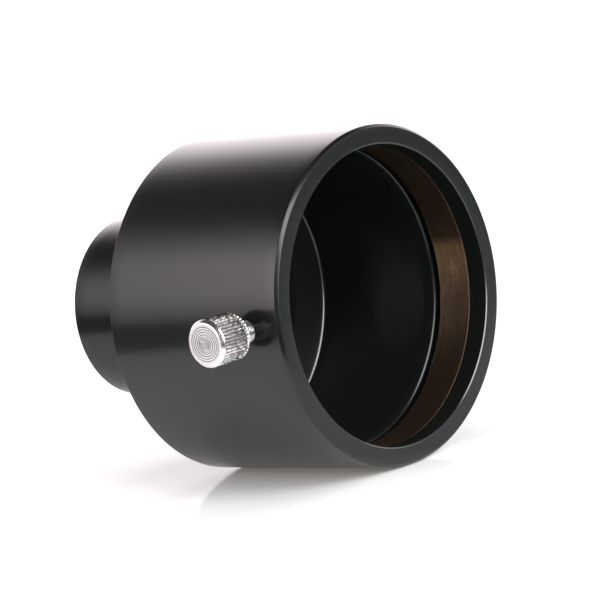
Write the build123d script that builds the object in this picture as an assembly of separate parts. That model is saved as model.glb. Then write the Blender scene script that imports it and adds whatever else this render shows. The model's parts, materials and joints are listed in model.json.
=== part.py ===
from build123d import *
import math
import os

# Barlow lens with a 1.25 inch nosepiece and a 2 inch eyepiece socket. Millimetres.
# X is the optical axis and +X points out of the socket. The thumbscrew stands out along -Y,
# and +Z is up. The origin is on the optical axis, in the plane of the hub's rear face, where
# the nosepiece leaves the receiver and a focuser's drawtube stops.

# Receiver: the wide cup that takes a 2 inch (50.8 mm) eyepiece barrel
receiver_r = 29.0
receiver_length = 38.2
rear_wall = 0.8
socket_r = 25.6
mouth_chamfer = 0.5
mouth_inner_chamfer = 0.2
shoulder_chamfer = 0.3
edge_break = 0.15
corner_fillet = 0.6

# Low hub behind the rear wall, which gives the nosepiece's thread enough length
hub_r = 20.0
hub_height = 1.6
hub_chamfer = 0.3

shoulder_x = hub_height
floor_x = shoulder_x + rear_wall
mouth_x = shoulder_x + receiver_length

# Groove in the socket wall and the split brass ring that lies in it
groove_r = 27.05
groove_front = mouth_x - 3.7
groove_rear = mouth_x - 11.7
groove_rear_chamfer = 0.25
ring_inner_r = 25.75
ring_outer_r = 26.6
ring_front = mouth_x - 3.9
ring_rear = mouth_x - 10.5
ring_break = 0.12
ring_gap = 2.5
ring_gap_angle = 50.0

# Thumbscrew, M4 x 0.7: a knurled knob pressed onto a threaded stud. Distances run outwards
# along the screw from the optical axis.
screw_x = (groove_front + groove_rear) / 2
knob_r = 4.05
knob_back = 32.1
knob_face = 38.8
knob_bevel = 0.55
knob_back_bevel = 0.3
knurl_count = 40
knurl_depth = 0.3
collar_r = 2.25
collar_length = 0.45
thread_crest_r = 1.97
tapped_hole_r = 2.03
shank_r = 1.35
press_fit = 0.01
stud_recess = 0.15
stud_tip_gap = 0.05
stud_tip_chamfer = 0.3

# Nosepiece: the 1.25 inch (31.75 mm) barrel, a little under size so that it slides. It screws
# into the hub from inside the socket until its thin flange meets the floor.
nose_r = 15.85
nose_length = 20.0
nose_chamfer = 0.4
nose_thread_r = 16.5
thread_clearance = 0.02
flange_r = 17.4
flange_thickness = 0.55
flange_slot_depth = 0.35
nose_bore_r = 12.6
cell_seat_x = -4.4
cell_bore_r = 13.6
filter_thread_r = 13.95
filter_thread_depth = 4.0

# Negative achromatic doublet, focal length about -60 mm, cemented, in its cell
lens_r = 11.5
crown_rear_radius = 34.0
shared_radius = 38.0
flint_front_radius = 150.0
crown_thickness = 1.8
flint_thickness = 3.0
cement_gap = 0.02
cell_clearance = 0.05
cell_lip = 1.2
clear_aperture_r = 10.6
cell_length = 10.2
retainer_thickness = 1.4
cell_lock_thickness = 1.2
cell_lock_inner_r = 11.6
spanner_slot_width = 2.0
spanner_slot_depth = 0.8


def turned(*outline):
    """Solid of revolution about the optical axis from its (x, radius) corners."""
    return revolve(make_face(Polyline(*outline, close=True)), Axis.X)


def spanner_bar(face_x, reach, depth):
    """Bar along Y that cuts slots for a spanner across a ring's face, to a given depth."""
    return Pos(face_x, 0, 0) * Box(2 * depth, 2 * reach, spanner_slot_width)


def slotted_ring(x_low, x_high, inner_r, outer_r):
    """Threaded ring on the optical axis, with two spanner slots in its rear face."""
    ring = turned(
        (x_low, inner_r),
        (x_low, outer_r - edge_break),
        (x_low + edge_break, outer_r),
        (x_high - edge_break, outer_r),
        (x_high, outer_r - edge_break),
        (x_high, inner_r),
    )
    return ring - spanner_bar(x_low, outer_r + 1, spanner_slot_depth)


def along_screw(shape):
    """Places a shape made about +Z from the origin along the thumbscrew's axis, -Y."""
    return Plane(origin=(screw_x, 0, 0), x_dir=(1, 0, 0), z_dir=(0, -1, 0)) * shape


def rod(low, high, radius):
    """Cylinder about +Z between two heights."""
    return Pos(0, 0, (low + high) / 2) * Cylinder(radius, high - low)


def receiver_body():
    hole_r = nose_thread_r + thread_clearance
    fillet_turn = corner_fillet * (1 - math.sqrt(0.5))
    corner = ThreePointArc(
        (floor_x + corner_fillet, socket_r),
        (floor_x + fillet_turn, socket_r - fillet_turn),
        (floor_x, socket_r - corner_fillet),
    )
    outside_and_mouth = Polyline(
        (floor_x, socket_r - corner_fillet),
        (floor_x, hole_r),
        (0, hole_r),
        (0, hub_r - hub_chamfer),
        (hub_chamfer, hub_r),
        (shoulder_x, hub_r),
        (shoulder_x, receiver_r - shoulder_chamfer),
        (shoulder_x + shoulder_chamfer, receiver_r),
        (mouth_x - mouth_chamfer, receiver_r),
        (mouth_x, receiver_r - mouth_chamfer),
        (mouth_x, socket_r + mouth_inner_chamfer),
        (mouth_x - mouth_inner_chamfer, socket_r),
        (groove_front, socket_r),
        (groove_front, groove_r),
        (groove_rear, groove_r),
        (groove_rear, socket_r + groove_rear_chamfer),
        (groove_rear - groove_rear_chamfer, socket_r),
        (floor_x + corner_fillet, socket_r),
    )
    cup = revolve(make_face(corner + outside_and_mouth), Axis.X)
    tapped_hole = rod(socket_r - 1, receiver_r + 1, tapped_hole_r)
    return cup - along_screw(tapped_hole)


def compression_ring():
    ring = turned(
        (ring_rear, ring_inner_r + ring_break),
        (ring_rear, ring_outer_r),
        (ring_front, ring_outer_r),
        (ring_front, ring_inner_r + ring_break),
        (ring_front - ring_break, ring_inner_r),
        (ring_rear + ring_break, ring_inner_r),
    )
    width = ring_front - ring_rear
    saw = Box(width + 2, 4, ring_gap)
    centre_x = (ring_front + ring_rear) / 2
    return ring - Rot(ring_gap_angle, 0, 0) * Pos(centre_x, -ring_outer_r, 0) * saw


def thumbscrew_knob():
    points = []
    for corner in range(2 * knurl_count):
        radius = knob_r if corner % 2 == 0 else knob_r - knurl_depth
        angle = math.pi * corner / knurl_count
        points.append((radius * math.cos(angle), radius * math.sin(angle)))
    knurl = make_face(Polyline(*points, close=True))
    head = Pos(0, 0, knob_back) * extrude(knurl, amount=knob_face - knob_back)
    bevelled = make_face(
        Polyline(
            (0, 0, knob_back),
            (knob_r - knob_back_bevel, 0, knob_back),
            (knob_r, 0, knob_back + knob_back_bevel),
            (knob_r, 0, knob_face - knob_bevel),
            (knob_r - knob_bevel, 0, knob_face),
            (0, 0, knob_face),
            close=True,
        )
    )
    head = head & revolve(bevelled, Axis.Z)
    collar_bottom = knob_back - collar_length
    collar = rod(collar_bottom, knob_back, collar_r)
    bore = rod(collar_bottom - 1, knob_face + 1, shank_r)
    return along_screw(head + collar - bore)


def thumbscrew_stud():
    tip = ring_outer_r + stud_tip_gap
    thread_end = knob_back - collar_length
    shank_end = knob_face - stud_recess
    outline = make_face(
        Polyline(
            (0, 0, tip),
            (thread_crest_r - stud_tip_chamfer, 0, tip),
            (thread_crest_r, 0, tip + stud_tip_chamfer),
            (thread_crest_r, 0, thread_end),
            (shank_r + press_fit, 0, thread_end),
            (shank_r + press_fit, 0, shank_end),
            (0, 0, shank_end),
            close=True,
        )
    )
    return along_screw(revolve(outline, Axis.Z))


def nosepiece():
    end = -nose_length
    flange_front = floor_x + flange_thickness
    barrel = turned(
        (end, filter_thread_r + edge_break),
        (end, nose_r - nose_chamfer),
        (end + nose_chamfer, nose_r),
        (0, nose_r),
        (0, nose_thread_r),
        (floor_x, nose_thread_r),
        (floor_x, flange_r),
        (flange_front - edge_break, flange_r),
        (flange_front, flange_r - edge_break),
        (flange_front, nose_bore_r),
        (cell_seat_x, nose_bore_r),
        (cell_seat_x, cell_bore_r),
        (end + filter_thread_depth, cell_bore_r),
        (end + filter_thread_depth, filter_thread_r),
        (end + edge_break, filter_thread_r),
    )
    return barrel - spanner_bar(flange_front, flange_r + 1, flange_slot_depth)


def sag(radius, height=lens_r):
    """Depth of a spherical lens surface at a height from the axis, by default at its rim."""
    return radius - math.sqrt(radius**2 - height**2)


cell_end_x = cell_seat_x - cell_length
lip_x = cell_seat_x - cell_lip
flint_front_x = lip_x - sag(flint_front_radius)
flint_rear_x = flint_front_x - flint_thickness
crown_front_x = flint_rear_x - cement_gap
crown_rear_x = crown_front_x - crown_thickness
crown_rim_x = crown_rear_x - sag(crown_rear_radius)


def lens_element(front_x, front_radius, rear_x, rear_radius):
    """Lens between two spherical surfaces. A radius is positive where its centre is at +X."""

    def surface(vertex_x, radius, height):
        return (vertex_x + math.copysign(sag(abs(radius), height), radius), height)

    front_rim = surface(front_x, front_radius, lens_r)
    rear_rim = surface(rear_x, rear_radius, lens_r)
    front_middle = surface(front_x, front_radius, lens_r / 2)
    rear_middle = surface(rear_x, rear_radius, lens_r / 2)
    outline = [
        Line((rear_x, 0), (front_x, 0)),
        ThreePointArc((front_x, 0), front_middle, front_rim),
        Line(front_rim, rear_rim),
        ThreePointArc(rear_rim, rear_middle, (rear_x, 0)),
    ]
    return revolve(make_face(outline), Axis.X)


def biconcave_element():
    return lens_element(crown_front_x, shared_radius, crown_rear_x, -crown_rear_radius)


def meniscus_element():
    return lens_element(flint_front_x, flint_front_radius, flint_rear_x, shared_radius)


def lens_cell():
    bore_r = lens_r + cell_clearance
    outer_r = cell_bore_r - cell_clearance
    return turned(
        (cell_end_x, bore_r),
        (cell_end_x, outer_r - edge_break),
        (cell_end_x + edge_break, outer_r),
        (cell_seat_x - edge_break, outer_r),
        (cell_seat_x, outer_r - edge_break),
        (cell_seat_x, clear_aperture_r),
        (lip_x, clear_aperture_r),
        (lip_x, bore_r),
    )


def lens_retaining_ring():
    rear = crown_rim_x - retainer_thickness
    return slotted_ring(rear, crown_rim_x, clear_aperture_r, lens_r)


def cell_lock_ring():
    rear = cell_end_x - cell_lock_thickness
    return slotted_ring(rear, cell_end_x, cell_lock_inner_r, cell_bore_r - cell_clearance)


pieces = [
    receiver_body,
    compression_ring,
    thumbscrew_knob,
    thumbscrew_stud,
    nosepiece,
    lens_cell,
    biconcave_element,
    meniscus_element,
    lens_retaining_ring,
    cell_lock_ring,
]

os.makedirs("parts", exist_ok=True)
for piece in pieces:
    export_step(piece(), f"parts/{piece.__name__}.step")
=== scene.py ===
import json
import math

import bmesh
import bpy
from mathutils import Matrix, Vector, noise

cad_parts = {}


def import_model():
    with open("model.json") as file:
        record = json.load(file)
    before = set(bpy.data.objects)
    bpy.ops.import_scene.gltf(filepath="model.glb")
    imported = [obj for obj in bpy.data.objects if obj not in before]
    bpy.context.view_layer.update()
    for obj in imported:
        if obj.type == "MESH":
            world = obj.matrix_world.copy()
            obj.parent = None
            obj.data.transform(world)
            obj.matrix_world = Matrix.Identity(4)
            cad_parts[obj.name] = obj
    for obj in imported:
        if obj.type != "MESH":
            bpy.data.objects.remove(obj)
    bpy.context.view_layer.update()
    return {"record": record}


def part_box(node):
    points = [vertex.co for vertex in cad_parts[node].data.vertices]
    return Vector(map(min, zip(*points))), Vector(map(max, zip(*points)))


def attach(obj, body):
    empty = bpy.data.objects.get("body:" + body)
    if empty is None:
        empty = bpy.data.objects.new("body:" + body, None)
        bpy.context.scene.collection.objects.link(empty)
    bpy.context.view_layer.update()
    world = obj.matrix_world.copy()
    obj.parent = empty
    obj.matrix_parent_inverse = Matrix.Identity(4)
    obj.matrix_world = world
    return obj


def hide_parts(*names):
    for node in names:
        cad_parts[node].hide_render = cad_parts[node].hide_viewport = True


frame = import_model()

MM = 0.001
TAU = 2 * math.pi
MOUNTS = {mount["name"]: mount for mount in frame["record"]["mounts"]}


def mount_radius(name):
    return MOUNTS[name]["dims"]["r_mm"] * MM


# ---------------------------------------------------------------------------------------------
# Sizes, in metres. What the frame knows is read from it, and the rest repeats the CAD.
# ---------------------------------------------------------------------------------------------

receiver_low, receiver_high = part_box("receiver_body")
nose_low, nose_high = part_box("nosepiece")
ring_low, ring_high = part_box("compression_ring")
knob_low, knob_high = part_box("thumbscrew_knob")
stud_low, stud_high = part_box("thumbscrew_stud")
cell_low, cell_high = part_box("lens_cell")
crown_low, crown_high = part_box("biconcave_element")
flint_low, flint_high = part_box("meniscus_element")
retainer_low, retainer_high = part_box("lens_retaining_ring")
lock_low, lock_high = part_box("cell_lock_ring")

MOUTH_X = receiver_high.x
RECEIVER_R = min(receiver_high.z, -receiver_low.z)
SOCKET_R = mount_radius("eyepiece_socket")
SHOULDER_X = 1.6 * MM
FLOOR_X = 2.4 * MM
HUB_R = 20.0 * MM
HUB_HOLE_R = 16.52 * MM
FLOOR_FILLET = 0.6 * MM
GROOVE_R = 27.05 * MM
GROOVE_FRONT = MOUTH_X - 3.7 * MM
GROOVE_REAR = MOUTH_X - 11.7 * MM
GROOVE_BREAK = 0.25 * MM
MOUTH_CHAMFER = 0.5 * MM
LIP_WIDTH = 0.22 * MM
LIP_DEPTH = 0.16 * MM
SMALL_CHAMFER = 0.3 * MM
EDGE = 0.15 * MM

RING_INNER_R = 25.75 * MM
RING_OUTER_R = 26.6 * MM
RING_GAP = 2.5 * MM
RING_GAP_ANGLE = -50.0

SCREW_X = (knob_low.x + knob_high.x) / 2
TAPPED_HOLE_R = 2.03 * MM
KNOB_R = (knob_high.x - knob_low.x) / 2
KNOB_FACE = -knob_low.y
COLLAR_BOTTOM = -knob_high.y
COLLAR_LENGTH = 0.45 * MM
COLLAR_R = 2.25 * MM
KNOB_BACK = COLLAR_BOTTOM + COLLAR_LENGTH
KNOB_BEVEL = 0.55 * MM
KNOB_FLAT_R = 3.4 * MM
SHANK_R = 1.35 * MM
STUD_R = 1.97 * MM
STUD_FACE = -stud_low.y
STUD_TIP = -stud_high.y
STUD_PITCH = 0.7 * MM
STUD_THREAD_DEPTH = 0.38 * MM

NOSE_R = mount_radius("nosepiece")
NOSE_BORE_R = 12.6 * MM
NOSE_THREAD_R = 16.5 * MM
NOSE_CHAMFER = 0.4 * MM
FLANGE_R = 17.4 * MM
FILTER_R = mount_radius("filter_thread")
FILTER_DEPTH = 4.0 * MM
FILTER_PITCH = 0.6 * MM
FILTER_THREAD_DEPTH = 0.30 * MM
CELL_BORE_R = 13.6 * MM
CELL_SEAT_X = cell_high.x
CELL_LIP = 1.2 * MM
CELL_CLEARANCE = 0.05 * MM
LOCK_INNER_R = 11.6 * MM
SLOT_WIDTH = 2.0 * MM
RING_SLOT_DEPTH = 0.8 * MM
FLANGE_SLOT_DEPTH = 0.35 * MM

LENS_R = (crown_high.z - crown_low.z) / 2
CLEAR_R = 10.6 * MM
CROWN_THICKNESS = 1.8 * MM
FLINT_THICKNESS = 3.0 * MM
CEMENT_GAP = 0.02 * MM
CROWN_REAR_RADIUS = 34 * MM
SHARED_RADIUS = 38 * MM
FLINT_FRONT_RADIUS = 150 * MM

SCREW_FRAME = Matrix(((0, 1, 0, SCREW_X), (-1, 0, 0, 0), (0, 0, 1, 0), (0, 0, 0, 1)))


# ---------------------------------------------------------------------------------------------
# Mesh work: everything on this part is turned, so the pieces start as lathe outlines about X
# ---------------------------------------------------------------------------------------------


def arc(centre, radius, start, end, steps):
    """Points (x, r) along an arc, with angles in degrees measured from +X towards +r."""
    points = []
    for i in range(steps + 1):
        angle = math.radians(start + (end - start) * i / steps)
        points.append((centre[0] + radius * math.cos(angle), centre[1] + radius * math.sin(angle)))
    return points


def softened(corners, radius, steps=3):
    """Rounds each corner of a closed outline, as tumbling and anodising leave it.

    A corner given as (x, r, own_radius) keeps its own rounding. No rounding takes up more than
    most of half a side, and a corner that is nearly straight stays a point.
    """
    side_share, straight = 0.45, 0.02
    points = []
    count = len(corners)
    for i, corner in enumerate(corners):
        own = corner[2] if len(corner) > 2 else radius
        here = Vector(corner[:2])
        before = Vector(corners[i - 1][:2]) - here
        after = Vector(corners[(i + 1) % count][:2]) - here
        reach = min(own, side_share * before.length, side_share * after.length)
        if reach <= 0 or abs(before.normalized().cross(after.normalized())) < straight:
            points.append(tuple(here))
            continue
        start = here + before.normalized() * reach
        end = here + after.normalized() * reach
        for k in range(steps + 1):
            t = k / steps
            points.append(tuple((1 - t) ** 2 * start + 2 * t * (1 - t) * here + t**2 * end))
    return points


def filled(points, longest):
    """Splits the long straight runs of a closed outline, so that no piece is longer than that."""
    result = []
    for i, point in enumerate(points):
        a, b = Vector(point), Vector(points[(i + 1) % len(points)])
        pieces = max(1, math.ceil((b - a).length / longest))
        result += [tuple(a.lerp(b, k / pieces)) for k in range(pieces)]
    return result


def lathe(name, outline, segments=256, shape=None, start=0.0, sweep=360.0):
    """Turns a closed (x, r) outline about X. The angle is 0 at -Y and grows towards +Z.

    shape(x, r, turn) may move a point: it returns its new (x, r). Less than a full sweep is
    capped at both ends.
    """
    full = sweep >= 360
    rings = segments if full else segments + 1
    mesh = bmesh.new()
    rows = []
    for i in range(rings):
        turn = math.radians(start + sweep * i / segments)
        row = []
        for x, r in outline:
            if shape:
                x, r = shape(x, r, turn)
            row.append(mesh.verts.new((x, -r * math.cos(turn), r * math.sin(turn))))
        rows.append(row)
    count = len(outline)
    for i in range(segments):
        a, b = rows[i], rows[(i + 1) % rings]
        for k in range(count):
            mesh.faces.new((a[k], a[(k + 1) % count], b[(k + 1) % count], b[k]))
    if not full:
        mesh.faces.new(rows[0])
        mesh.faces.new(list(reversed(rows[-1])))
    bmesh.ops.remove_doubles(mesh, verts=mesh.verts, dist=1e-7)
    bmesh.ops.recalc_face_normals(mesh, faces=mesh.faces)
    return to_object(name, mesh)


def to_object(name, mesh):
    data = bpy.data.meshes.new(name)
    mesh.to_mesh(data)
    mesh.free()
    obj = bpy.data.objects.new(name, data)
    bpy.context.scene.collection.objects.link(obj)
    return obj


def box_mesh(name, size, centre):
    mesh = bmesh.new()
    bmesh.ops.create_cube(mesh, size=1.0)
    bmesh.ops.scale(mesh, vec=size, verts=mesh.verts)
    bmesh.ops.translate(mesh, vec=centre, verts=mesh.verts)
    return to_object(name, mesh)


def cut(obj, tool):
    """Subtracts a tool's shape from a piece and removes the tool."""
    modifier = obj.modifiers.new("cut", "BOOLEAN")
    modifier.object = tool
    modifier.operation = "DIFFERENCE"
    modifier.solver = "EXACT"
    graph = bpy.context.evaluated_depsgraph_get()
    data = bpy.data.meshes.new_from_object(obj.evaluated_get(graph))
    obj.modifiers.clear()
    obj.data = data
    bpy.data.objects.remove(tool)


def smooth(obj):
    """Smooth shading that keeps the edges sharper than 28 degrees crisp."""
    for polygon in obj.data.polygons:
        polygon.use_smooth = True
    obj.data.set_sharp_from_angle(angle=math.radians(28.0))


def helix(radius, low, high, pitch, depth, outward):
    """Shape function that cuts a V thread into the points near a radius between two x.

    outward is True for a thread on the outside of a rod and False for one in a bore. Its crests
    and roots are a tenth of a pitch wide, and it runs out over half a pitch at each end.
    """
    tolerance = 0.02 * MM
    inwards = depth if outward else -depth

    def shape(x, r, turn):
        if abs(r - radius) > tolerance or not low <= x <= high:
            return x, r
        phase = (x / pitch - turn / TAU) % 1.0
        valley = min(1.0, max(0.0, 1.25 * (1 - abs(2 * phase - 1)) - 0.125))
        fade = min(1.0, (x - low) / (0.5 * pitch), (high - x) / (0.5 * pitch))
        return x, r - inwards * valley * fade

    return shape


def threaded_outline(points, radius, step):
    """Adds points to the outline's run at a radius, near enough together to carry a thread."""
    result = []
    for i, (x, r) in enumerate(points):
        result.append((x, r))
        next_x, next_r = points[(i + 1) % len(points)]
        at_radius = max(abs(r - radius), abs(next_r - radius)) < 1e-6
        if at_radius and abs(next_x - x) > 2 * step:
            count = math.ceil(abs(next_x - x) / step)
            result += [(x + (next_x - x) * k / count, radius) for k in range(1, count)]
    return result


# ---------------------------------------------------------------------------------------------
# Materials
# ---------------------------------------------------------------------------------------------


class Nodes:
    """Short calls for building a node tree."""

    def __init__(self, tree):
        self.tree = tree
        tree.nodes.clear()

    def add(self, kind, **inputs):
        """A node of that kind. An underscore in an input's name stands for a space."""
        node = self.tree.nodes.new(kind)
        for key, value in inputs.items():
            self.feed(node, key.replace("_", " "), value)
        return node

    def feed(self, node, socket, value):
        """Links another node's output to a socket, or sets the socket to a constant."""
        target = node.inputs[socket]
        if isinstance(value, bpy.types.NodeSocket):
            self.tree.links.new(value, target)
        else:
            target.default_value = value

    def math(self, operation, a, b=0.0, c=0.0):
        node = self.tree.nodes.new("ShaderNodeMath")
        node.operation = operation
        for i, value in enumerate((a, b, c)):
            self.feed(node, i, value)
        return node.outputs[0]

    def remap(self, value, from_low, from_high, to_low=0.0, to_high=1.0, kind="LINEAR"):
        node = self.tree.nodes.new("ShaderNodeMapRange")
        node.interpolation_type = kind
        for socket, number in zip(
            ("Value", "From Min", "From Max", "To Min", "To Max"),
            (value, from_low, from_high, to_low, to_high),
        ):
            self.feed(node, socket, number)
        return node.outputs["Result"]

    def noise(self, vector, size, detail=2.0, roughness=0.5, kind="3D"):
        """Noise whose largest features are about that size."""
        node = self.tree.nodes.new("ShaderNodeTexNoise")
        node.noise_dimensions = kind
        self.feed(node, "Vector", vector)
        self.feed(node, "Scale", 1 / size)
        self.feed(node, "Detail", detail)
        self.feed(node, "Roughness", roughness)
        return node.outputs["Fac"]

    def mix(self, factor, a, b):
        node = self.tree.nodes.new("ShaderNodeMix")
        node.data_type = "RGBA"
        self.feed(node, 0, factor)
        self.feed(node, 6, a)
        self.feed(node, 7, b)
        return node.outputs[2]

    def dot(self, a, b):
        node = self.tree.nodes.new("ShaderNodeVectorMath")
        node.operation = "DOT_PRODUCT"
        self.feed(node, 0, a)
        self.feed(node, 1, b)
        return node.outputs["Value"]

    def bump(self, height, distance):
        node = self.tree.nodes.new("ShaderNodeBump")
        self.feed(node, "Height", height)
        self.feed(node, "Distance", distance)
        self.feed(node, "Strength", 1.0)
        return node.outputs["Normal"]


def new_material(name):
    material = bpy.data.materials.new(name)
    material.use_nodes = True
    return material, Nodes(material.node_tree)


def finish_material(nodes, **sockets):
    shader = nodes.add("ShaderNodeBsdfPrincipled", **sockets)
    nodes.add("ShaderNodeOutputMaterial", Surface=shader.outputs["BSDF"])


def turning_coordinates(nodes, axis="X"):
    """(position, vector whose noise runs in rings round the axis, distance from the axis).

    The axis is the optical axis, X, or the thumbscrew's, Y.
    """
    position = nodes.add("ShaderNodeTexCoord").outputs["Object"]
    split = nodes.add("ShaderNodeSeparateXYZ", Vector=position)
    along = split.outputs[axis]
    others = [split.outputs[a] for a in "XYZ" if a != axis]
    if axis == "Y":
        others[0] = nodes.math("SUBTRACT", others[0], SCREW_X)
    squares = [nodes.math("MULTIPLY", o, o) for o in others]
    radius = nodes.math("SQRT", nodes.math("ADD", *squares))
    rings = nodes.add("ShaderNodeCombineXYZ", X=along, Y=radius).outputs[0]
    return position, rings, radius


def dust(nodes, position, cell, size, share):
    """Sparse round specks: 1 inside a speck, 0 elsewhere."""
    cells = nodes.add("ShaderNodeTexVoronoi", Vector=position, Scale=1 / cell)
    near = nodes.math("LESS_THAN", cells.outputs["Distance"], size / cell)
    pick = nodes.add("ShaderNodeSeparateColor", Color=cells.outputs["Color"]).outputs[0]
    chosen = nodes.math("LESS_THAN", pick, share)
    return nodes.math("MULTIPLY", near, chosen)


OUTSIDE_DYE = (0.0048, 0.0056, 0.0058, 1), (0.0060, 0.0065, 0.0066, 1)
# The socket's inside takes these lighter blacks as painted light.
SOCKET_PAINTED_LIGHT_DYE = (0.0076, 0.0090, 0.0088, 1), (0.0076, 0.0090, 0.0088, 1)
DUST = (0.30, 0.31, 0.32, 1)


def black_anodised(name, level, dye_and_painted_light=OUTSIDE_DYE, dulled=0.0):
    """Black anodised aluminium: fine turning marks under a slightly grainy dyed layer.

    The level is how strongly it reflects, the dye is the two blacks that it varies between, and
    dulled is what the finish adds to its roughness. Inside the socket the two blacks are lighter:
    that is painted light.
    """
    material, nodes = new_material(name)
    position, rings, _ = turning_coordinates(nodes)
    grain = nodes.noise(position, 0.12 * MM, 3.0, 0.6)
    blotch = nodes.noise(position, 9 * MM, 3.0, 0.55)
    marks = nodes.noise(rings, 0.16 * MM, 2.0, 0.6, kind="2D")
    specks = dust(nodes, position, 3.2 * MM, 0.075 * MM, 0.035)
    # With the socket's blacks, this colour carries painted light.
    dyed = nodes.mix(nodes.remap(blotch, 0.3, 0.7), *dye_and_painted_light)
    rough = nodes.math(
        "ADD",
        nodes.remap(grain, 0.25, 0.75, 0.17 + dulled, 0.23 + dulled),
        nodes.remap(marks, 0.3, 0.7, -0.012, 0.012),
    )
    height = nodes.math("ADD", grain, nodes.math("MULTIPLY", marks, 0.15))
    finish_material(
        nodes,
        Base_Color=nodes.mix(specks, dyed, DUST),
        Roughness=rough,
        IOR=1.5,
        Specular_IOR_Level=level,
        Normal=nodes.bump(height, 0.0010 * MM),
    )
    return material


def black_fittings():
    """Matt black anodised fittings inside the nosepiece."""
    material, nodes = new_material("black_fittings")
    position, rings, _ = turning_coordinates(nodes)
    grain = nodes.noise(position, 0.08 * MM, 3.0, 0.65)
    marks = nodes.noise(rings, 0.12 * MM, 2.0, 0.6, kind="2D")
    black, dusty = (0.010, 0.0103, 0.0108, 1), (0.017, 0.017, 0.0175, 1)
    height = nodes.math("ADD", grain, nodes.math("MULTIPLY", marks, 0.8))
    finish_material(
        nodes,
        Base_Color=nodes.mix(nodes.remap(grain, 0.3, 0.7), black, dusty),
        Roughness=nodes.remap(marks, 0.3, 0.7, 0.58, 0.70),
        IOR=1.5,
        Specular_IOR_Level=0.25,
        Normal=nodes.bump(height, 0.004 * MM),
    )
    return material


def brass():
    """Spring brass strip, brushed round the ring and browned by handling.

    A painted highlight lightens the lower half of its front edge, and a painted reflection
    lightens a patch on the side opposite the screw.
    """
    material, nodes = new_material("brass")
    position, rings, _ = turning_coordinates(nodes)
    split = nodes.add("ShaderNodeSeparateXYZ", Vector=position)
    along, away, height = split.outputs["X"], split.outputs["Y"], split.outputs["Z"]
    brush = nodes.noise(rings, 0.07 * MM, 3.0, 0.65, kind="2D")
    stain = nodes.noise(position, 3.5 * MM, 4.0, 0.62)
    pits = nodes.noise(position, 0.25 * MM, 2.0, 0.5)

    # Painted reflection: a lighter, golden patch on the far side, opposite the screw.
    reflection_top = nodes.remap(height, 3.6 * MM, 5.8 * MM, 1.0, 0.0, "SMOOTHSTEP")
    reflection_bottom = nodes.remap(height, -5.0 * MM, 4.0 * MM, 0.0, 1.0, "SMOOTHSTEP")
    far_side = nodes.math("GREATER_THAN", away, 0.0)
    painted_reflection = nodes.math("MULTIPLY", nodes.math("MULTIPLY", reflection_top, reflection_bottom), far_side)
    # Painted highlight: a bright line along the lower half of the ring's front edge.
    front = nodes.remap(along, ring_high.x - 0.30 * MM, ring_high.x - 0.20 * MM)
    lower_half = nodes.remap(height, -2.0 * MM, 3.5 * MM, 1.0, 0.15, "SMOOTHSTEP")
    edge = nodes.math("MULTIPLY", front, lower_half)

    clean, browned, pitted = (0.27, 0.172, 0.112, 1), (0.21, 0.131, 0.090, 1), (0.12, 0.07, 0.04, 1)
    # The two lighter colours paint the reflection patch and the edge highlight.
    reflection_colour, glint_colour = (0.66, 0.41, 0.21, 1), (1.0, 0.70, 0.44, 1)
    colour = nodes.mix(nodes.remap(stain, 0.35, 0.68), browned, clean)
    colour = nodes.mix(nodes.remap(pits, 0.60, 0.74, 0.0, 0.40), colour, pitted)
    colour = nodes.mix(painted_reflection, colour, reflection_colour)
    colour = nodes.mix(edge, colour, glint_colour)
    rough = nodes.math(
        "ADD",
        nodes.remap(stain, 0.3, 0.7, 0.33, 0.27),
        nodes.remap(brush, 0.3, 0.7, -0.05, 0.05),
    )
    finish_material(
        nodes,
        Base_Color=colour,
        Metallic=0.94,
        Roughness=nodes.math("MULTIPLY_ADD", edge, -0.08, rough),
        Normal=nodes.bump(brush, 0.020 * MM),
    )
    return material


def nickel():
    """Bright nickel plate on the knurled knob, with painted shade in the knurl and the face's rings.
    """
    material, nodes = new_material("nickel_plate")
    position, rings, radius = turning_coordinates(nodes, "Y")
    along = nodes.add("ShaderNodeSeparateXYZ", Vector=position).outputs["Y"]
    face = -KNOB_FACE
    grain = nodes.noise(position, 0.18 * MM, 3.0, 0.6)
    marks = nodes.noise(rings, 0.07 * MM, 2.0, 0.6, kind="2D")

    # Painted shade: the knurl's valleys and the bottoms of the face's turned rings are darkened.
    behind_bevel = nodes.math("GREATER_THAN", along, face + 0.5 * MM)
    outermost = nodes.math("GREATER_THAN", radius, KNOB_R - 0.6 * MM)
    valley = nodes.remap(radius, KNOB_R - 0.34 * MM, KNOB_R - 0.12 * MM, 0.75, 0.0)
    knurl_valley_shade = nodes.math("MULTIPLY", nodes.math("MULTIPLY", behind_bevel, outermost), valley)
    near_face = nodes.math("LESS_THAN", along, face + 0.09 * MM)
    turned_flat = nodes.math("MULTIPLY", near_face, nodes.math("LESS_THAN", radius, KNOB_FLAT_R))
    ring_groove_shade = nodes.remap(along, face + 0.008 * MM, face + 0.032 * MM, 0.0, 0.85)
    painted_shade = nodes.math("MAXIMUM", knurl_valley_shade, nodes.math("MULTIPLY", turned_flat, ring_groove_shade))

    bright, dull, shade_colour = (0.90, 0.89, 0.875, 1), (0.80, 0.79, 0.775, 1), (0.06, 0.06, 0.06, 1)
    plated = nodes.mix(nodes.remap(grain, 0.35, 0.7), bright, dull)
    rough = nodes.remap(marks, 0.3, 0.7, 0.16, 0.28)
    height = nodes.math("ADD", grain, nodes.math("MULTIPLY", marks, 0.6))
    finish_material(
        nodes,
        Base_Color=nodes.mix(painted_shade, plated, shade_colour),
        Metallic=1.0,
        Roughness=nodes.math("MULTIPLY_ADD", turned_flat, 0.20, rough),
        Normal=nodes.bump(height, 0.012 * MM),
    )
    return material


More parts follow.
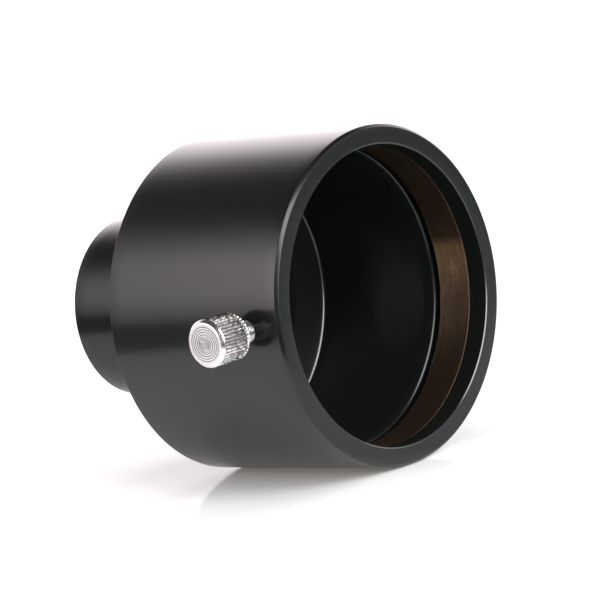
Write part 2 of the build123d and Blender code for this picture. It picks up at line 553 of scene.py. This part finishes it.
def steel():
    """Turned steel of the stud."""
    material, nodes = new_material("bright_steel")
    position, rings, _ = turning_coordinates(nodes, "Y")
    mottle = nodes.noise(position, 0.30 * MM, 3.0, 0.6)
    marks = nodes.noise(rings, 0.09 * MM, 2.0, 0.5, kind="2D")
    light, dark = (0.72, 0.72, 0.715, 1), (0.50, 0.495, 0.49, 1)
    finish_material(
        nodes,
        Base_Color=nodes.mix(nodes.remap(mottle, 0.35, 0.65), light, dark),
        Metallic=1.0,
        Roughness=nodes.remap(marks, 0.3, 0.7, 0.22, 0.36),
        Normal=nodes.bump(nodes.math("ADD", mottle, marks), 0.02 * MM),
    )
    return material


def coated_glass():
    """Optical glass with a faint green-magenta anti-reflection coating and a little dust."""
    material, nodes = new_material("coated_glass")
    position = nodes.add("ShaderNodeTexCoord").outputs["Object"]
    specks = dust(nodes, position, 1.6 * MM, 0.05 * MM, 0.10)
    tint = nodes.noise(position, 14 * MM, 1.0, 0.5)
    green, magenta = (0.93, 0.99, 0.95, 1), (0.98, 0.95, 0.99, 1)
    finish_material(
        nodes,
        Base_Color=nodes.mix(nodes.remap(tint, 0.3, 0.7), green, magenta),
        Roughness=nodes.math("MULTIPLY_ADD", specks, 0.5, 0.015),
        IOR=1.52,
        Transmission_Weight=1.0,
    )
    return material


MATERIALS = {
    "black_anodised": black_anodised("black_anodised", 0.5),
    "satin_anodised": black_anodised("satin_anodised", 0.38),
    # socket_wall, socket_floor and socket_fillet carry the socket's lighter blacks: painted light.
    "socket_wall": black_anodised("socket_wall", 0.22, SOCKET_PAINTED_LIGHT_DYE, 0.10),
    "socket_floor": black_anodised("socket_floor", 0.5, SOCKET_PAINTED_LIGHT_DYE),
    "socket_fillet": black_anodised("socket_fillet", 0.95, SOCKET_PAINTED_LIGHT_DYE),
    "mouth_lip": black_anodised("mouth_lip", 1.0),
    "black_fittings": black_fittings(),
    "coated_glass": coated_glass(),
    "brass": brass(),
    "nickel_plate": nickel(),
    "bright_steel": steel(),
}


def place(obj, node, body, slot, finish=None):
    """Gives a piece its material, shades it and stands it in for its CAD node.

    The material is the one named after the slot, unless the piece has a finish of its own.
    """
    smooth(obj)
    obj.data.materials.clear()
    obj.data.materials.append(MATERIALS[finish or slot])
    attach(obj, body)
    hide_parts(node)


def refinish(obj, finish, x_low, x_high, r_low, r_high):
    """Gives another finish to the faces whose middles lie between two x and two radii."""
    obj.data.materials.append(MATERIALS[finish])
    index = len(obj.data.materials) - 1
    for polygon in obj.data.polygons:
        x, y, z = polygon.center
        if x_low <= x <= x_high and r_low <= math.hypot(y, z) <= r_high:
            polygon.material_index = index


# ---------------------------------------------------------------------------------------------
# Pieces
# ---------------------------------------------------------------------------------------------


def screw_hole():
    """Tool that drills the thumbscrew's hole and breaks its outer edge."""
    inner_end, chamfer = SOCKET_R - 1 * MM, 0.25 * MM
    outline = [
        (inner_end, 0),
        (inner_end, TAPPED_HOLE_R),
        (RECEIVER_R - chamfer, TAPPED_HOLE_R),
        (RECEIVER_R + chamfer, TAPPED_HOLE_R + 2 * chamfer),
        (RECEIVER_R + chamfer, 0),
    ]
    drill = lathe("drill", outline, 64)
    drill.data.transform(SCREW_FRAME)
    return drill


def receiver():
    corners = [
        (FLOOR_X, HUB_HOLE_R),
        (0, HUB_HOLE_R),
        (0, HUB_R - SMALL_CHAMFER),
        (SMALL_CHAMFER, HUB_R),
        (SHOULDER_X, HUB_R, 0),
        (SHOULDER_X, RECEIVER_R - SMALL_CHAMFER),
        (SHOULDER_X + SMALL_CHAMFER, RECEIVER_R),
        (MOUTH_X - MOUTH_CHAMFER, RECEIVER_R),
        (MOUTH_X, RECEIVER_R - MOUTH_CHAMFER, 0.06 * MM),
        (MOUTH_X, SOCKET_R + LIP_WIDTH, 0.04 * MM),
        (MOUTH_X - LIP_DEPTH, SOCKET_R, 0.04 * MM),
        (GROOVE_FRONT, SOCKET_R),
        (GROOVE_FRONT, GROOVE_R, 0.2 * MM),
        (GROOVE_REAR, GROOVE_R, 0.2 * MM),
        (GROOVE_REAR, SOCKET_R + GROOVE_BREAK, 0.10 * MM),
        (GROOVE_REAR - GROOVE_BREAK, SOCKET_R, 0.10 * MM),
    ]
    fillet_x, fillet_r = FLOOR_X + FLOOR_FILLET, SOCKET_R - FLOOR_FILLET
    fillet = arc((fillet_x, fillet_r), FLOOR_FILLET, 90, 180, 8)
    outline = filled(softened(corners, 0.05 * MM, 6) + fillet, 2.5 * MM)
    obj = lathe("receiver_body", outline, 360)
    cut(obj, screw_hole())
    place(obj, "receiver_body", "receiver", "black_anodised")
    refinish(obj, "socket_floor", FLOOR_X - EDGE, FLOOR_X + EDGE, HUB_HOLE_R, fillet_r)
    refinish(obj, "socket_fillet", FLOOR_X, fillet_x, fillet_r, SOCKET_R)
    refinish(obj, "socket_wall", fillet_x, MOUTH_X, SOCKET_R - EDGE, SOCKET_R + 0.05 * MM)
    refinish(obj, "mouth_lip", MOUTH_X - 0.18 * MM, MOUTH_X, SOCKET_R, SOCKET_R + LIP_WIDTH)


def compression_ring():
    corners = [
        (ring_low.x, RING_INNER_R),
        (ring_low.x, RING_OUTER_R),
        (ring_high.x, RING_OUTER_R),
        (ring_high.x, RING_INNER_R),
    ]
    outline = filled(softened(corners, 0.12 * MM, 4), 1.2 * MM)
    half_gap = math.degrees(RING_GAP / 2 / RING_OUTER_R)
    obj = lathe(
        "compression_ring",
        outline,
        300,
        start=RING_GAP_ANGLE + half_gap,
        sweep=360 - 2 * half_gap,
    )
    place(obj, "compression_ring", "clamp_ring", "brass")


def knurl(teeth, depth, start, end):
    """Shape function for a straight knurl whose ridges wander and vary a little in height."""
    start_fade, end_fade = 0.3 * MM, 0.25 * MM

    def shape(x, r, turn):
        if r > KNOB_FLAT_R and start < x < end:
            bend = Vector((math.cos(turn) * 3.2, math.sin(turn) * 3.2, x / (1.1 * MM)))
            count = teeth * turn / TAU + 0.16 * noise.noise(bend)
            tooth = int(count) % teeth
            ridge = 1 - abs(2 * (count % 1.0) - 1)
            uneven = noise.noise(Vector((tooth * 7.31, x / (0.9 * MM), 2.0)))
            fade = min(1.0, (x - start) / start_fade, (end - x) / end_fade)
            r -= depth * (1 - ridge * (0.85 + 0.45 * uneven)) * max(0.0, fade)
        return x, min(r, KNOB_R)

    return shape


def thumbscrew_knob():
    """The knurled knob, with fine rings turned in its face."""
    teeth = 40
    ridges = knurl(teeth, 0.36 * MM, KNOB_BACK + 0.15 * MM, KNOB_FACE - 0.62 * MM)
    groove_pitch, groove_depth = 0.42 * MM, 0.07 * MM
    inmost, outmost = 1.40 * MM, 3.08 * MM

    def shape(x, r, turn):
        if x > KNOB_FACE - 1e-7 and inmost < r < outmost:
            wave = 0.5 - 0.5 * math.cos(TAU * (r - inmost) / groove_pitch)
            x -= groove_depth * wave**4
        return ridges(x, r, turn)

    corners = [
        (KNOB_FACE, SHANK_R, 0.05 * MM),
        (COLLAR_BOTTOM, SHANK_R, 0.05 * MM),
        (COLLAR_BOTTOM, COLLAR_R, 0.2 * MM),
        (KNOB_BACK, COLLAR_R, 0.1 * MM),
        (KNOB_BACK, KNOB_R, 0.45 * MM),
        (KNOB_FACE - KNOB_BEVEL, KNOB_R, 0.2 * MM),
        (KNOB_FACE, KNOB_R - KNOB_BEVEL, 0.2 * MM),
    ]
    steps = math.ceil((outmost - inmost) / (0.025 * MM))
    corners += [(KNOB_FACE, outmost + (inmost - outmost) * i / steps, 0) for i in range(steps + 1)]
    outline = threaded_outline(softened(corners, 0.1 * MM, 5), KNOB_R, 0.08 * MM)
    obj = lathe("thumbscrew_knob", filled(outline, 0.5 * MM), teeth * 12, shape)
    obj.data.transform(SCREW_FRAME)
    place(obj, "thumbscrew_knob", "thumbscrew", "nickel_plate")


def thumbscrew_stud():
    tip_chamfer = 0.3 * MM
    corners = [
        (STUD_TIP, 0, 0),
        (STUD_TIP, STUD_R - tip_chamfer),
        (STUD_TIP + tip_chamfer, STUD_R, 0),
        (COLLAR_BOTTOM, STUD_R, 0),
        (COLLAR_BOTTOM, SHANK_R, 0),
        (STUD_FACE, SHANK_R, 0.1 * MM),
        (STUD_FACE, 0, 0),
    ]
    outline = threaded_outline(softened(corners, 0.05 * MM), STUD_R, STUD_PITCH / 10)
    thread_start = STUD_TIP + 0.2 * MM
    thread = helix(STUD_R, thread_start, COLLAR_BOTTOM, STUD_PITCH, STUD_THREAD_DEPTH, True)
    swirl_depth, swirl_size, swirl_pitch = 0.06 * MM, 0.45 * MM, 0.55 * MM

    def shape(x, r, turn):
        if x > STUD_FACE - 1e-7:
            bend = noise.noise(Vector((r * math.cos(turn), r * math.sin(turn), 0)) / swirl_size)
            x -= swirl_depth * (0.5 + 0.5 * math.cos(TAU * r / swirl_pitch + 4 * bend))
        return thread(x, r, turn)

    obj = lathe("thumbscrew_stud", filled(outline, 0.5 * MM), 96, shape)
    obj.data.transform(SCREW_FRAME)
    place(obj, "thumbscrew_stud", "thumbscrew", "bright_steel")


def spanner_slots(obj, face_x, reach, depth):
    """Two slots across a ring's face, for a pin spanner."""
    tool = box_mesh("spanner", (2 * depth, 2 * reach, SLOT_WIDTH), (face_x, 0, 0))
    cut(obj, tool)


def nosepiece():
    rear = nose_low.x
    thread_end = rear + FILTER_DEPTH
    corners = [
        (rear, FILTER_R + EDGE),
        (rear, NOSE_R - NOSE_CHAMFER),
        (rear + NOSE_CHAMFER, NOSE_R),
        (0, NOSE_R, 0),
        (0, NOSE_THREAD_R, 0),
        (FLOOR_X, NOSE_THREAD_R, 0),
        (FLOOR_X, FLANGE_R, 0),
        (nose_high.x, FLANGE_R, 0.2 * MM),
        (nose_high.x, NOSE_BORE_R, 0.1 * MM),
        (CELL_SEAT_X, NOSE_BORE_R),
        (CELL_SEAT_X, CELL_BORE_R),
        (thread_end, CELL_BORE_R),
        (thread_end, FILTER_R, 0),
        (rear + EDGE, FILTER_R, 0),
    ]
    outline = threaded_outline(softened(corners, 0.05 * MM), FILTER_R, FILTER_PITCH / 8)
    thread = helix(FILTER_R, rear + EDGE, thread_end, FILTER_PITCH, FILTER_THREAD_DEPTH, False)
    obj = lathe("nosepiece", filled(outline, 2.5 * MM), 256, thread)
    spanner_slots(obj, nose_high.x, FLANGE_R + 1 * MM, FLANGE_SLOT_DEPTH)
    place(obj, "nosepiece", "receiver", "black_anodised", "satin_anodised")


def lens_cell():
    lip_x = CELL_SEAT_X - CELL_LIP
    bore_r = LENS_R + CELL_CLEARANCE
    outer_r = (cell_high.z - cell_low.z) / 2
    corners = [
        (cell_low.x, bore_r),
        (cell_low.x, outer_r),
        (CELL_SEAT_X, outer_r),
        (CELL_SEAT_X, CLEAR_R, 0.3 * MM),
        (lip_x, CLEAR_R),
        (lip_x, bore_r, 0),
    ]
    obj = lathe("lens_cell", filled(softened(corners, 0.12 * MM), 1.5 * MM), 192)
    place(obj, "lens_cell", "receiver", "black_fittings")


def slotted_ring(name, low, high, inner_r):
    """Threaded ring between two corners of its box, with spanner slots in its rear face."""
    outer_r = (high.z - low.z) / 2
    corners = [
        (low.x, inner_r),
        (low.x, outer_r),
        (high.x, outer_r),
        (high.x, inner_r),
    ]
    obj = lathe(name, filled(softened(corners, 0.12 * MM), 1.5 * MM), 192)
    spanner_slots(obj, low.x, outer_r + 1 * MM, RING_SLOT_DEPTH)
    place(obj, name, "receiver", "black_fittings")


def sag(radius, height):
    """Depth of a spherical surface at a height from the axis. A positive radius centres at +X."""
    return math.copysign(abs(radius) - math.sqrt(radius**2 - height**2), radius)


def lens_surface(vertex_x, radius, steps=24):
    """Points from the axis to the rim of a lens surface."""
    heights = [LENS_R * i / steps for i in range(steps + 1)]
    return [(vertex_x + sag(radius, height), height) for height in heights]


def lens_element(name, front_x, front_radius, rear_x, rear_radius):
    outline = lens_surface(front_x, front_radius) + lens_surface(rear_x, rear_radius)[::-1]
    obj = lathe(name, outline, 160)
    place(obj, name, "receiver", "coated_glass")


def doublet():
    """The two cemented elements, worked out rearwards from the flint's rim against the lip."""
    flint_front = flint_high.x - sag(FLINT_FRONT_RADIUS, LENS_R)
    flint_rear = flint_front - FLINT_THICKNESS
    crown_front = flint_rear - CEMENT_GAP
    crown_rear = crown_front - CROWN_THICKNESS
    lens_element("meniscus_element", flint_front, FLINT_FRONT_RADIUS, flint_rear, SHARED_RADIUS)
    lens_element("biconcave_element", crown_front, SHARED_RADIUS, crown_rear, -CROWN_REAR_RADIUS)


receiver()
compression_ring()
thumbscrew_knob()
thumbscrew_stud()
nosepiece()
lens_cell()
doublet()
slotted_ring("lens_retaining_ring", retainer_low, retainer_high, CLEAR_R)
slotted_ring("cell_lock_ring", lock_low, lock_high, LOCK_INNER_R)


# ---------------------------------------------------------------------------------------------
# Stage, light and camera
# ---------------------------------------------------------------------------------------------

FLOOR_GAP = 0.02 * MM
FLOOR_Z = receiver_low.z - FLOOR_GAP


def floor_material():
    """White acrylic, lit faintly from below."""
    material, nodes = new_material("white_acrylic")
    position = nodes.add("ShaderNodeTexCoord").outputs["Object"]
    cloud = nodes.noise(position, 120 * MM, 2.0, 0.5)
    finish_material(
        nodes,
        Base_Color=nodes.mix(cloud, (0.80, 0.84, 0.85, 1), (0.82, 0.85, 0.85, 1)),
        Roughness=0.12,
        IOR=1.06,
        Emission_Color=(1.03, 0.96, 0.84, 1),
        Emission_Strength=0.105,
    )
    return material


def floor():
    mesh = bmesh.new()
    bmesh.ops.create_circle(mesh, cap_ends=True, radius=6.0, segments=96)
    obj = to_object("stage_floor", mesh)
    obj.location.z = FLOOR_Z
    obj.data.materials.append(floor_material())


FLAG_FAR, FLAG_HALF_WIDTH = 1.4, 0.35
FLAG_LIFT = 0.1 * MM
START_FADE, END_FADE_FROM, FLANK_FADE_FROM = 0.012, 0.8, 0.12


def grey(shade):
    return (0.93 * shade, shade, 1.02 * shade, 1)


def flag_material(name, away, side, shades):
    """Matt grey that fades out towards the card's edges and changes shade on the way out."""
    material, nodes = new_material(name)
    position = nodes.add("ShaderNodeTexCoord").outputs["Object"]
    near = shades[0][0]
    out = nodes.dot(position, (away.x, away.y, 0))
    sideways = nodes.math("ABSOLUTE", nodes.dot(position, (side.x, side.y, 0)))
    start = nodes.remap(out, near, near + START_FADE, 0.0, 1.0, "SMOOTHSTEP")
    end = nodes.remap(out, END_FADE_FROM, FLAG_FAR, 1.0, 0.0, "SMOOTHSTEP")
    flanks = nodes.remap(sideways, FLANK_FADE_FROM, FLAG_HALF_WIDTH, 1.0, 0.0, "SMOOTHSTEP")
    colour = grey(shades[0][1])
    for (low, _), (high, shade) in zip(shades, shades[1:]):
        colour = nodes.mix(nodes.remap(out, low, high), colour, grey(shade))
    finish_material(
        nodes,
        Base_Color=colour,
        Roughness=0.9,
        Specular_IOR_Level=0.0,
        Alpha=nodes.math("MULTIPLY", start, nodes.math("MULTIPLY", end, flanks)),
    )
    return material


def flag(name, away, shades):
    """Grey card lying on the table, which only reflections see.

    It runs away from the part, and its edges are soft. The shades are (distance, shade) pairs
    along it, and the first distance is where it starts.
    """
    away = Vector(away).normalized()
    side = Vector((-away.y, away.x))
    near_middle, far_middle = away * shades[0][0], away * FLAG_FAR
    half = side * FLAG_HALF_WIDTH
    corners = (near_middle - half, near_middle + half, far_middle + half, far_middle - half)
    mesh = bmesh.new()
    mesh.faces.new([mesh.verts.new((corner.x, corner.y, 0)) for corner in corners])
    obj = to_object(name, mesh)
    obj.location.z = FLOOR_Z + FLAG_LIFT
    obj.data.materials.append(flag_material(name, away, side, shades))
    obj.visible_camera = False
    obj.visible_diffuse = False
    obj.visible_shadow = False
    obj.visible_transmission = False


def world():
    """A pale tent with a dark ceiling and a dark opening round the photograph's point of view.

    Its walls are bright up to about 26 degrees above the horizon, and dimmer near the horizon
    and towards +X. On the thumbscrew's side they drop sharply where they turn towards -X.
    """
    scene_world = bpy.data.worlds.new("studio")
    scene_world.use_nodes = True
    bpy.context.scene.world = scene_world
    nodes = Nodes(scene_world.node_tree)
    direction = nodes.add("ShaderNodeTexCoord").outputs["Generated"]
    split = nodes.add("ShaderNodeSeparateXYZ", Vector=direction)
    along, away, height = split.outputs["X"], split.outputs["Y"], split.outputs["Z"]

    leaning = nodes.math("MULTIPLY_ADD", away, -0.04, height)
    walls = nodes.remap(leaning, 0.44, 0.74, 2.45, 0.0, "SMOOTHSTEP")
    horizon = nodes.remap(height, -0.12, 0.24, 0.25, 1.0, "SMOOTHSTEP")
    mouth_side = nodes.remap(along, -0.35, 0.30, 1.0, 0.45, "SMOOTHSTEP")
    tent = nodes.math("MULTIPLY", nodes.math("MULTIPLY", walls, horizon), mouth_side)

    to_viewpoint = nodes.dot(direction, (0.66, -0.74, 0.13))
    opening = nodes.remap(to_viewpoint, 0.55, 0.90, 1.0, 0.08, "SMOOTHSTEP")

    far_level, glow = 1.12, 0.055
    screw_side = nodes.remap(along, -0.708, -0.662, 0.48, 1.40)
    far_side = nodes.remap(away, 0.10, 0.35, 0.0, 1.0, "SMOOTHSTEP")
    change = nodes.math("MULTIPLY", far_side, nodes.math("SUBTRACT", far_level, screw_side))
    sides = nodes.math("ADD", screw_side, change)

    lit = nodes.math("MULTIPLY", tent, opening)
    strength = nodes.math("MULTIPLY_ADD", lit, sides, glow)
    background = nodes.add("ShaderNodeBackground", Color=(1.03, 0.95, 0.97, 1), Strength=strength)
    nodes.add("ShaderNodeOutputWorld", Surface=background.outputs[0])


def softbox(name, direction, distance, size, power, mirrored=True):
    """Rectangular light that faces the part. Reflections see it only if it is mirrored."""
    data = bpy.data.lights.new(name, "AREA")
    data.shape = "RECTANGLE"
    data.size, data.size_y = size
    data.energy = power
    obj = bpy.data.objects.new(name, data)
    towards = Vector(direction).normalized()
    target = Vector((20 * MM, 0, 0))
    obj.location = target + towards * distance
    obj.rotation_mode = "QUATERNION"
    obj.rotation_quaternion = towards.to_track_quat("Z", "Y")
    obj.visible_glossy = mirrored
    bpy.context.scene.collection.objects.link(obj)


def camera():
    """A long lens at the photograph's point of view, rolled a little."""
    azimuth, elevation, roll = math.radians(41.98), math.radians(7.60), math.radians(8.93)
    distance = 659.2 * MM
    aim = Vector((17.52, 1.88, -0.54)) * MM
    across, up = math.cos(elevation), math.sin(elevation)
    back = Vector((math.sin(azimuth) * across, -math.cos(azimuth) * across, up))
    data = bpy.data.cameras.new("camera")
    data.lens = 229.0
    data.sensor_width = 36.0
    data.clip_start = 0.01
    data.clip_end = 50.0
    obj = bpy.data.objects.new("camera", data)
    bpy.context.scene.collection.objects.link(obj)
    turn = Matrix.Rotation(-roll, 3, back) @ (-back).to_track_quat("-Z", "Y").to_matrix()
    obj.matrix_world = Matrix.Translation(aim + back * distance) @ turn.to_4x4()
    bpy.context.scene.camera = obj


RIGHT_SHADES = [(0.03, 0.60), (0.17, 0.60), (0.19, 0.33), (0.60, 0.10)]

floor()
flag("stage_flag_left", (-0.663, -0.749), [(0.10, 0.17)])
flag("stage_flag_right", (0.668, 0.744), RIGHT_SHADES)
flag("stage_flag_front", (0.93, -0.37), [(0.10, 0.03)])
world()
softbox("softbox_right", (0.87, -0.185, 0.45), 0.8, (0.58, 0.75), 9.0)
softbox("overhead_fill", (0.05, 0.05, 1.0), 0.9, (0.8, 0.8), 4.0, mirrored=False)
camera()

bpy.context.scene.view_settings.view_transform = "Standard"
